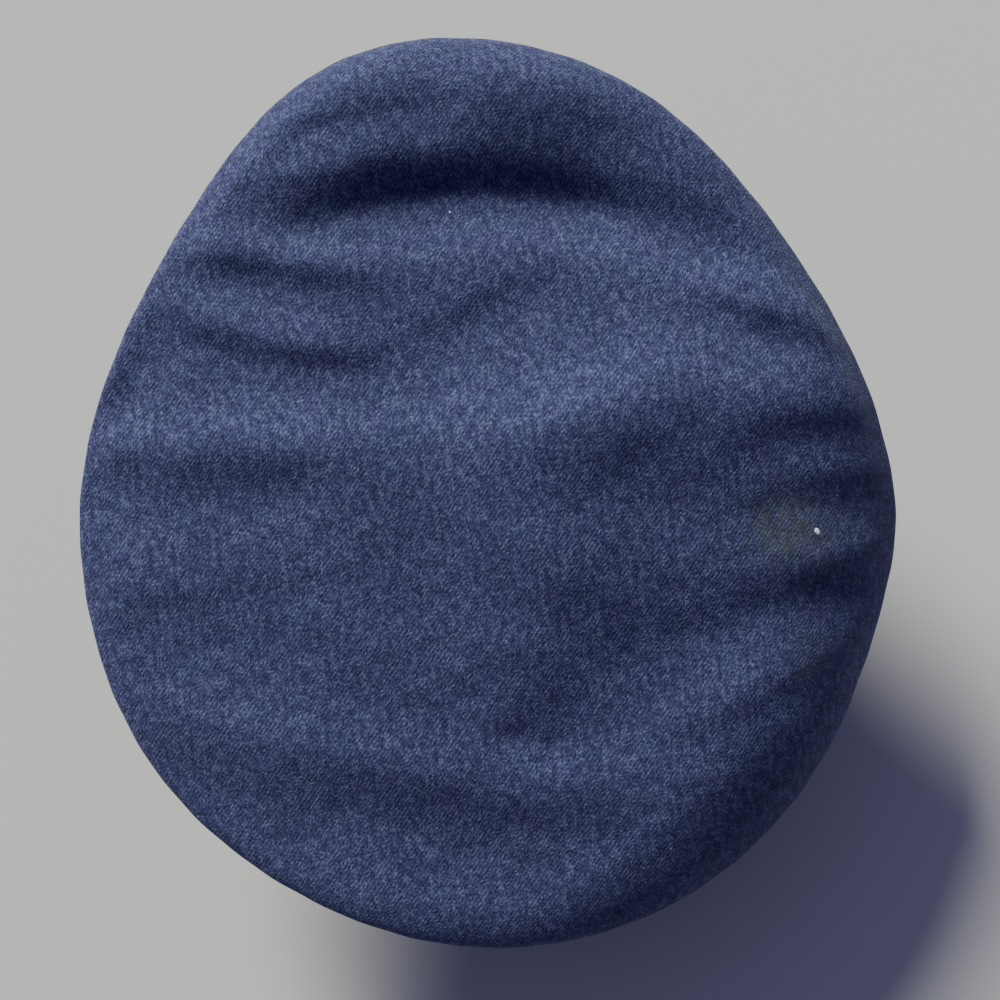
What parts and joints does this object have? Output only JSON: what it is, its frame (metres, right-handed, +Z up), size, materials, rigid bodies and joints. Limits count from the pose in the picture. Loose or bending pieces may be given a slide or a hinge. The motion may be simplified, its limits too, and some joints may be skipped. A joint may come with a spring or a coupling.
{
  "type": "peaked cap",
  "caption": "Peaked cap with a wide, soft, egg-shaped cloth crown, a stiff band, a sloping peak and a buttoned chin strap, worn on the head.",
  "frame": {"origin": "centre of the box at the level of the surface that the cap stands on", "axes": "+Z up, the peak and the front of the cap face -Y, +X is the wearer's left side"},
  "size_m": [0.2574, 0.3026, 0.1394],
  "materials": {
    "crown_serge": "matt wool serge, heathered blue twill",
    "band_braid": "ribbed dark blue braid",
    "peak_patent": "glossy black",
    "strap_leather": "smooth black, half gloss",
    "button_metal": "plain silver-coloured metal"
  },
  "bodies": {
    "root": {"crown_top": "crown_serge", "quarter_front_left": "crown_serge", "quarter_back_left": "crown_serge", "quarter_back_right": "crown_serge", "quarter_front_right": "crown_serge", "band": "band_braid", "peak": "peak_patent", "chin_strap": "strap_leather", "strap_button_left": "button_metal", "strap_button_right": "button_metal"}
  },
  "joints": []
}
